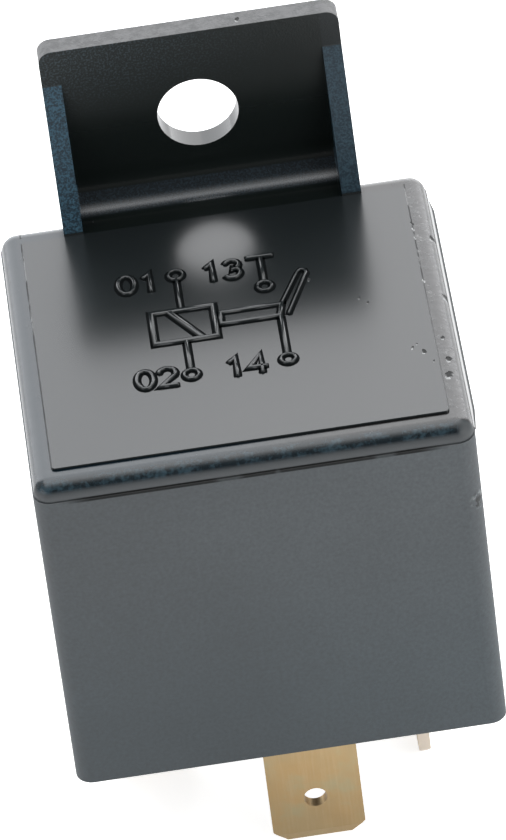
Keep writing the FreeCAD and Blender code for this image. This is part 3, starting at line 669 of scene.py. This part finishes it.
symbol = {
    # points, width and whether the stroke is closed
    "strokes": (
        # coil box, its slanted bar and its two wire ends
        (((-5.12, 2.50), (-1.00, 2.50), (-1.00, -0.72), (-5.12, -0.72)), 0.50, True),
        (((-3.90, 2.35), (-2.05, -0.55)), 0.62, False),
        (((-3.10, 2.62), (-3.10, 5.75)), 0.34, False),
        (((-3.08, -0.85), (-3.08, -3.84)), 0.44, False),
        # double link, lower wire, open contact arm and the contact above it
        (((-0.62, 1.62), (3.48, 1.62), (3.26, 0.40), (-0.62, 0.40)), 0.42, True),
        (((3.30, 0.28), (3.30, -3.70)), 0.44, False),
        (((3.52, 1.66), (4.86, 4.62), (5.08, 4.90), (5.36, 4.80), (5.44, 4.46), (3.86, 0.50)),
         0.26, False),
        (((2.60, 6.80), (2.60, 4.20)), 0.44, False),
        (((1.75, 6.92), (3.35, 6.92)), 0.44, False),
    ),
    "ringCentres": ((-3.12, 6.22), (-3.08, -4.33), (3.30, -4.18), (2.60, 3.72)),
    "ringRadius": 0.48, "ringSteps": 24, "ringWidth": 0.30,
}


def circuitSymbol(work):
    for path, width, closed in symbol["strokes"]:
        bead(work, path, width, closed)
    for centre in symbol["ringCentres"]:
        ring = arcPath(centre, symbol["ringRadius"], 0, 360, symbol["ringSteps"])[:-1]
        bead(work, ring, symbol["ringWidth"], closed=True)


figures = {
    # plain numbers beside the four wire ends: text and lower left corner
    "labels": (("01", (-7.00, 5.00)), ("02", (-6.70, -5.15)), ("13", (-1.35, 5.10)),
               ("14", (-0.80, -5.10))),
    "height": 1.82, "width": 0.38,
    # shapes 1 wide and 1.6 high, stepped 1.3 apart
    "shapeHeight": 1.6, "shapeStep": 1.30,
    "shapes": {
        "0": arcPath((0.5, 0.8), 0.8, 0, 360, 22, 0.6)[:-1],
        "1": [(0.25, 1.25), (0.6, 1.6), (0.6, 0.0)],
        "2": arcPath((0.5, 1.12), 0.48, 165, -35, 10) + [(0.05, 0.0), (1.0, 0.0)],
        "3": arcPath((0.45, 1.18), 0.42, 150, -80, 9) + arcPath((0.45, 0.42), 0.46, 78, -150, 10),
        "4": [(0.75, 0.0), (0.75, 1.6), (0.0, 0.5), (1.0, 0.5)],
    },
}


def contactNumbers(work):
    unit = figures["height"] / figures["shapeHeight"]
    for text, (cornerX, cornerY) in figures["labels"]:
        for index, character in enumerate(text):
            path = [(cornerX + (x + figures["shapeStep"] * index) * unit, cornerY + y * unit)
                    for x, y in figures["shapes"][character]]
            bead(work, path, figures["width"], closed=character == "0")


coverPlastic, markGroove = finishes["coverPlastic"], finishes["markGroove"]
meshPiece("circuitMark", circuitSymbol, "relay", "cover_plastic", coverPlastic, markGroove)
meshPiece("contactNumbers", contactNumbers, "relay", "cover_plastic", coverPlastic, markGroove)


print("leaving the flash on the right wall")

flash = {
    "fromY": -12.35, "toY": 11.85, "steps": 24, "wallX": 14.38, "reach": 0.30, "lip": 0.155,
    "topZ": 24.33, "lipDrop": 0.14, "thickness": 0.20,
    # reach at each end and the steps over which it grows
    "startShare": 0.40, "startSteps": 3.0, "endShare": 0.45, "endSteps": 1.2,
    # finish of each side: pale top with a painted highlight, dull lip, dark edge and the two
    # inner sides
    "sideSlots": (1, 2, 3, 0, 0),
}


def mouldFlash(work):
    # a strip along the wall's top edge, with a painted highlight above and a dull dark lip
    inner, top, steps = flash["wallX"], flash["topZ"], flash["steps"]
    bottom = top - flash["thickness"]
    rows = []
    for step in range(steps + 1):
        y = flash["fromY"] + (flash["toY"] - flash["fromY"]) * step / steps
        share = min(1.0, flash["startShare"] + step / flash["startSteps"],
                    flash["endShare"] + (steps - step) / flash["endSteps"])
        outer = inner + flash["reach"] * share
        lip = outer - flash["lip"] * share
        section = ((inner, top), (lip, top), (outer, top - flash["lipDrop"]), (outer, bottom),
                   (inner, bottom))
        rows.append([work.verts.new((x, y, z)) for x, z in section])
    for first, second in zip(rows[:-1], rows[1:]):
        for face, slot in zip(joinRows(work, first, second), flash["sideSlots"]):
            face.material_index = slot
    work.faces.new(rows[0])
    work.faces.new(rows[-1])


meshPiece("mouldFlash", mouldFlash, "relay", "cover_plastic", coverPlastic,
          finishes["flashTopHighlight"], finishes["dullLip"], markGroove, smooth=False)


print("bending the contact spring")

# leaf from the yoke's back over the hinge to the contact, in mm
spring = {
    "thickness": 0.25, "halfWidth": 3.5, "endHalfWidth": 1.8, "bendRadius": 1.225,
    "backX": -11.325, "footZ": 11.0, "openDegrees": 2.6,
    "hinge": (-10.7, 19.5), "rise": 1.985, "endRun": 21.55,
    "backSteps": 24, "bendSteps": 16, "armSteps": 60,
    # the back part lies below and left of this place
    "backTopZ": 20.0, "backRightX": -10.5,
    "taperStartX": 3.4, "taperEndX": 6.6, "cornerCut": 0.9,
    # window over the bend
    "windowHalf": 1.1, "windowBottomZ": 17.2, "windowRightX": -8.2, "windowShare": 0.45,
    "columns": (-1.0, -0.8, -0.6, -0.4, -0.2, 0.0, 0.2, 0.4, 0.6, 0.8, 1.0),
}


def springLine():
    # centre line from the foot up the yoke's back, round the bend and out along the armature
    angle = math.radians(spring["openDegrees"])
    hingeX, hingeZ = spring["hinge"]
    radius, rise, run = spring["bendRadius"], spring["rise"], spring["endRun"]
    endX = hingeX + run * math.cos(angle) - rise * math.sin(angle)
    endZ = hingeZ + run * math.sin(angle) + rise * math.cos(angle)
    backX, footZ = spring["backX"], spring["footZ"]
    cornerZ = hingeZ + rise / math.cos(angle) + (backX - hingeX) * math.tan(angle)
    turn = math.pi / 2 - angle
    centreZ = cornerZ - radius * math.tan(turn / 2)
    line = []
    for step in range(spring["backSteps"] + 1):
        line.append((backX, footZ + (centreZ - footZ) * step / spring["backSteps"]))
    for step in range(1, spring["bendSteps"] + 1):
        swing = math.pi - turn * step / spring["bendSteps"]
        line.append((backX + radius + radius * math.cos(swing),
                     centreZ + radius * math.sin(swing)))
    startX, startZ = line[-1]
    for step in range(1, spring["armSteps"] + 1):
        share = step / spring["armSteps"]
        line.append((startX + (endX - startX) * share, startZ + (endZ - startZ) * share))
    return line


def springHalfWidth(x, z, fromEnd, fromFoot):
    wide, narrow, cut = spring["halfWidth"], spring["endHalfWidth"], spring["cornerCut"]
    if z < spring["backTopZ"] and x < spring["backRightX"]:
        return min(wide, wide - cut + fromFoot)
    along = (x - spring["taperStartX"]) / (spring["taperEndX"] - spring["taperStartX"])
    half = wide + (narrow - wide) * min(1.0, max(0.0, along))
    return min(half, narrow - cut + fromEnd) if fromEnd < cut else half


def springGrid(work, line, offset, windowRows):
    # rows of vertices across the leaf, at an offset from its centre line
    lengths = [0.0]
    for first, second in zip(line[:-1], line[1:]):
        lengths.append(lengths[-1] + math.dist(first, second))
    grid = []
    for index, (x, z) in enumerate(line):
        before, after = line[max(index - 1, 0)], line[min(index + 1, len(line) - 1)]
        run = Vector((after[0] - before[0], after[1] - before[1])).normalized()
        out = Vector((-run.y, run.x)) * offset
        half = springHalfWidth(x, z, lengths[-1] - lengths[index], lengths[index])
        row = []
        for column in spring["columns"]:
            y = column * half
            if windowRows[index] and abs(column) <= spring["windowShare"]:
                y = math.copysign(spring["windowHalf"], column) if column else 0.0
            row.append(work.verts.new((x + out.x, y, z + out.y)))
        grid.append(row)
    return grid


def springCells(windowRows):
    # cells of the grid that are metal, all but those in the window
    columns = spring["columns"]
    cells = set()
    for row in range(len(windowRows) - 1):
        for column in range(len(columns) - 1):
            middle = abs(columns[column] + columns[column + 1]) / 2
            inWindow = windowRows[row] and windowRows[row + 1]
            if not (inWindow and middle < spring["windowShare"]):
                cells.add((row, column))
    return cells


def springLeaf(work):
    line = springLine()
    windowRows = [x < spring["windowRightX"] and z > spring["windowBottomZ"] for x, z in line]
    half = spring["thickness"] / 2
    upper, lower = (springGrid(work, line, offset, windowRows) for offset in (half, -half))
    cells = springCells(windowRows)
    for grid in (upper, lower):
        for r, c in cells:
            work.faces.new((grid[r][c], grid[r + 1][c], grid[r + 1][c + 1], grid[r][c + 1]))
    for r, c in cells:
        borders = {
            (r - 1, c): ((r, c), (r, c + 1)), (r + 1, c): ((r + 1, c), (r + 1, c + 1)),
            (r, c - 1): ((r, c), (r + 1, c)), (r, c + 1): ((r, c + 1), (r + 1, c + 1)),
        }
        for neighbour, ((ra, ca), (rb, cb)) in borders.items():
            if neighbour not in cells:
                work.faces.new((upper[ra][ca], upper[rb][cb], lower[rb][cb], lower[ra][ca]))
    loose = [vert for vert in work.verts if not vert.link_faces]
    bmesh.ops.delete(work, geom=loose, context="VERTS")


springPiece = meshPiece("springLeaf", springLeaf, None, "spring_bronze", finishes["springBronze"],
                        smooth=False)
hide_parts("contact_spring")
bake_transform(springPiece)


print("setting the table and the lights")

floorLook = {
    "half": 900.0, "level": -11.9, "dark": (0.90, 0.90, 0.90), "light": (0.94, 0.94, 0.94),
    "glowSeen": 0.72, "glowMirrored": 0.56, "paper": (8.0, 2.0, 0.5), "roughness": 0.9,
    "specular": 0.1,
}


def floorFinish():
    look = floorLook
    tree = Finish("paleFloor")
    rays = tree.nodes.new("ShaderNodeLightPath").outputs
    glow = tree.most(tree.times(rays["Is Camera Ray"], look["glowSeen"]),
                     tree.times(rays["Is Glossy Ray"], look["glowMirrored"]))
    tree.set(color=tree.mix(tree.noise(*look["paper"]), look["dark"], look["light"]))
    tree.set(roughness=look["roughness"], specular=look["specular"], glow=glow,
             glowColor=(1, 1, 1))
    return tree.material


def floorSheet(work):
    half = floorLook["half"]
    corners = ((-half, -half), (half, -half), (half, half), (-half, half))
    work.faces.new([work.verts.new((x, y, floorLook["level"])) for x, y in corners])


floor = addMesh("floor", floorSheet, [floorFinish()], smooth=False)

lamps = {
    # place and aim in mm, width and height in mm, brightness of the panel's face, tint
    "backPanelLeft": ((-250, 520, 300), (-250, 0, 300), 500, 620, 2.72, (0.965, 0.985, 1.02)),
    "backPanelRight": ((250, 520, 300), (250, 0, 300), 500, 620, 3.26, (0.985, 0.99, 1.01)),
    "topPanel": ((0, 230, 620), (0, 230, 0), 620, 560, 2.5, (0.97, 0.99, 1.02)),
    "rightPanel": ((330, -260, 190), (0, 0, 14), 380, 380, 1.97, (1, 1, 1)),
    "leftPanel": ((-430, -300, 200), (0, 0, 12), 320, 320, 1.6, (0.95, 0.985, 1.03)),
}
for lampName, (place, aim, width, height, brightness, tint) in lamps.items():
    data = bpy.data.lights.new(lampName, "AREA")
    data.shape = "RECTANGLE"
    data.size = width * mm
    data.size_y = height * mm
    data.energy = brightness * math.pi * data.size * data.size_y
    data.color = tint
    lamp = bpy.data.objects.new(lampName, data)
    turn = (Vector(aim) - Vector(place)).to_track_quat("-Z", "Y").to_matrix().to_4x4()
    lamp.matrix_world = Matrix.Translation(Vector(place) * mm) @ turn
    bpy.context.scene.collection.objects.link(lamp)

# white for the camera, even light on the object, and a room that reflections see:
# pale at the table's level and behind the relay, dim above the camera, a softbox overhead
room = {
    "even": 0.32, "pale": 0.75, "dim": 0.07, "frontHorizon": 0.16, "overhead": 2.5,
    # ranges of the direction's parts
    "behindY": (-0.30, 0.25), "tableZ": (0.05, 0.30), "horizonY": (-0.6, 0.1),
    "overheadY": (-0.56, -0.02), "overheadX": (0.35, 0.65), "overheadEndY": (-0.12, 0.02),
}


def makeWorld():
    world = bpy.data.worlds.new("whiteRoom")
    bpy.context.scene.world = world
    tree = Graph(world, "Generated")
    rays = tree.nodes.new("ShaderNodeLightPath").outputs
    x, y, z = tree.split(tree.place)
    behind = tree.ramp(y, *room["behindY"], room["dim"], room["pale"])
    horizon = tree.times(tree.ramp(z, *room["tableZ"], 1.0, 0.0),
                         tree.ramp(y, *room["horizonY"], room["frontHorizon"], room["pale"]))
    overhead = tree.times(tree.ramp(y, *room["overheadY"], 0.0, room["overhead"]),
                          tree.ramp(tree.math("ABSOLUTE", x), *room["overheadX"], 1.0, 0.0),
                          tree.ramp(y, *room["overheadEndY"], 1.0, 0.0))
    mirrored = tree.most(tree.most(behind, horizon), overhead)
    reflecting = tree.most(rays["Is Glossy Ray"], rays["Is Transmission Ray"])
    strength = tree.blend(reflecting, room["even"], mirrored)
    background = tree.node("ShaderNodeBackground", (1, 1, 1),
                           tree.blend(rays["Is Camera Ray"], strength, 1.0))
    tree.node("ShaderNodeOutputWorld", background.outputs[0])


makeWorld()

# the photo's view: angles in degrees, lengths in mm
camera = {"elevation": 39.393, "azimuth": -1.249, "roll": 7.603, "distance": 508.74,
          "target": (0.580, 0.0, 17.490), "lens": 328.9, "frameHeight": 36.0,
          "near": 20, "far": 20000}


def makeCamera():
    rise, swing, roll = (math.radians(camera[key]) for key in ("elevation", "azimuth", "roll"))
    back = Vector((math.sin(swing) * math.cos(rise), -math.cos(swing) * math.cos(rise),
                   math.sin(rise)))
    right = Vector((math.cos(swing), math.sin(swing), 0))
    up = back.cross(right)
    rolledRight = math.cos(roll) * right - math.sin(roll) * up
    rolledUp = math.sin(roll) * right + math.cos(roll) * up
    place = (Vector(camera["target"]) + back * camera["distance"]) * mm
    data = bpy.data.cameras.new("photoView")
    data.lens = camera["lens"]
    data.sensor_fit = "VERTICAL"
    data.sensor_height = camera["frameHeight"]
    data.clip_start = camera["near"] * mm
    data.clip_end = camera["far"] * mm
    eye = bpy.data.objects.new("photoView", data)
    turn = Matrix((rolledRight, rolledUp, back)).transposed().to_4x4()
    eye.matrix_world = Matrix.Translation(place) @ turn
    bpy.context.scene.collection.objects.link(eye)
    bpy.context.scene.camera = eye


makeCamera()
bpy.context.scene.view_settings.view_transform = "Standard"
